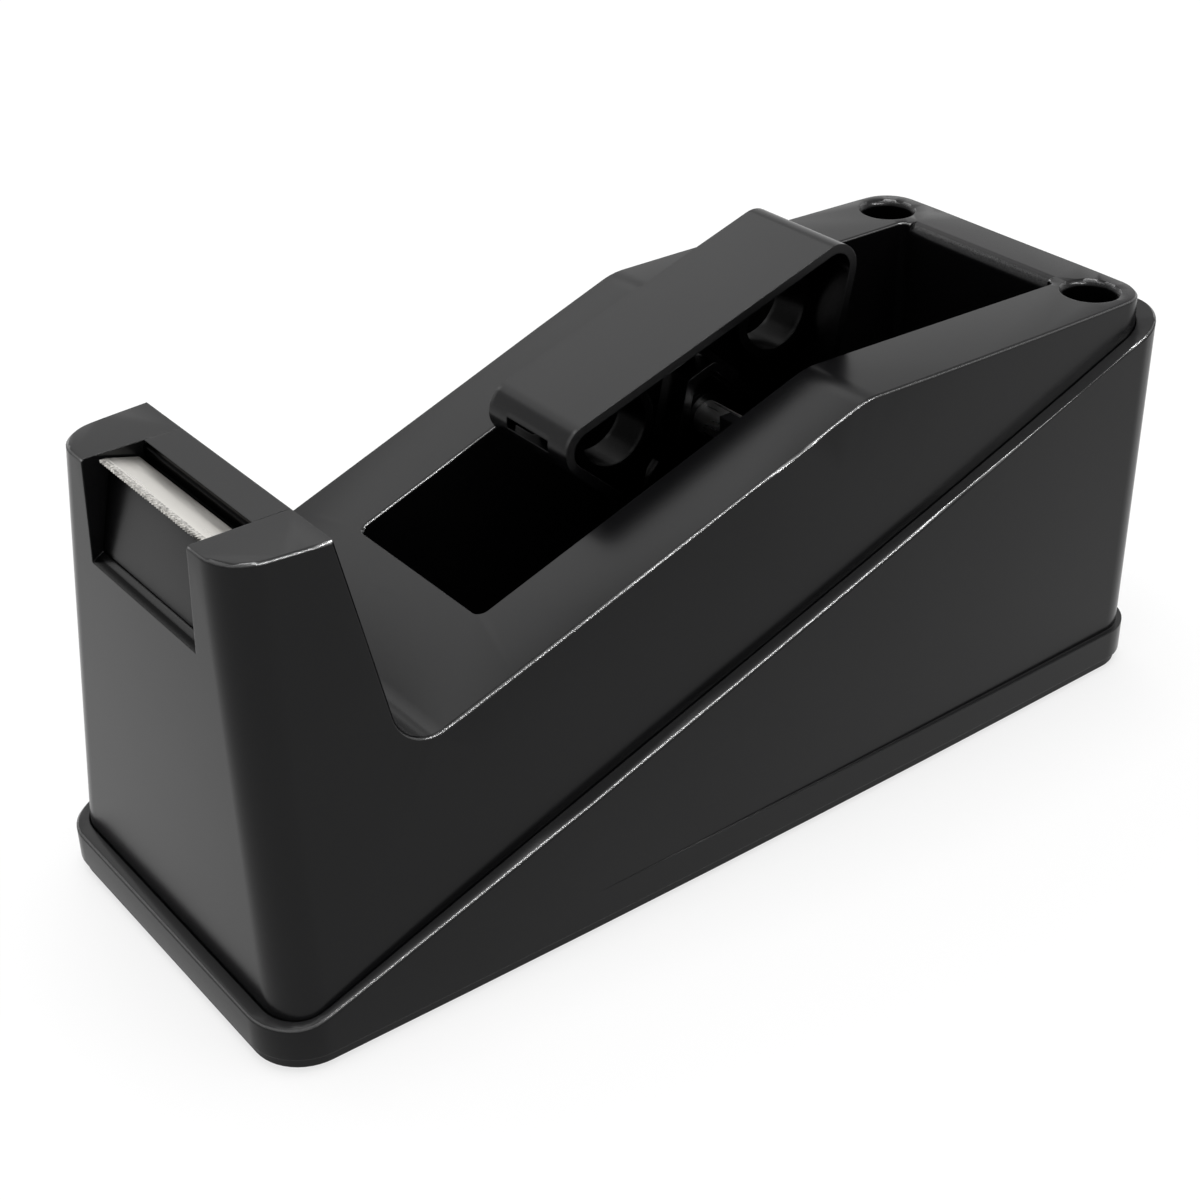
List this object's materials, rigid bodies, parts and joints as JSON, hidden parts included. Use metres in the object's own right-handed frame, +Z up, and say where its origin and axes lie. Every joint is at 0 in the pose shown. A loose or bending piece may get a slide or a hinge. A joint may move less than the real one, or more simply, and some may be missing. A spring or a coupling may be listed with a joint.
{
  "type": "tape dispenser",
  "caption": "weighted desk dispenser with a serrated cutter tower, a lift-out lobed hub turning in a deep well, and pen wells at the rear of its sloping deck",
  "frame": {"origin": "middle of the footprint at floor level", "axes": "+X from the cutter towards the rear, +Y to the left, +Z up"},
  "size_m": [0.2, 0.0792, 0.096],
  "materials": {
    "shell": "satin black ABS, fine spark texture",
    "holder": "satin black ABS insert",
    "hub": "satin black ABS",
    "blade": "bright rolled and ground stainless strip",
    "axle": "drawn steel rod",
    "plate": "matt black moulded plate",
    "ballast": "rough cast",
    "screw": "zinc-plated steel",
    "foot": "soft rubber pad"
  },
  "bodies": {
    "housing": {"upper_shell": "shell", "lower_shell": "shell", "bottom_plate": "plate", "blade_holder": "holder", "cutter_blade": "blade", "ballast_left": "ballast", "ballast_right": "ballast", "ballast_front": "ballast", "case_screws": "screw", "ballast_screws": "screw", "rubber_foot_1": "foot", "rubber_foot_2": "foot", "rubber_foot_3": "foot", "rubber_foot_4": "foot"},
    "axle_carriage": {"hub_axle": "axle", "axle_block_left": "hub", "axle_block_right": "hub"},
    "hub": {"tape_hub": "hub", "hub_bush_left": "hub", "hub_bush_right": "hub"}
  },
  "joints": [
    {"name": "hub_lift", "type": "slide", "parent": "housing", "child": "axle_carriage", "axis": [0, 0, 1], "range_m": [0, 0.07]},
    {"name": "hub_spin", "type": "hinge", "parent": "axle_carriage", "child": "hub", "pos_m": [0.0145, 0, 0.06675], "axis": [0, 1, 0], "continuous": true}
  ]
}
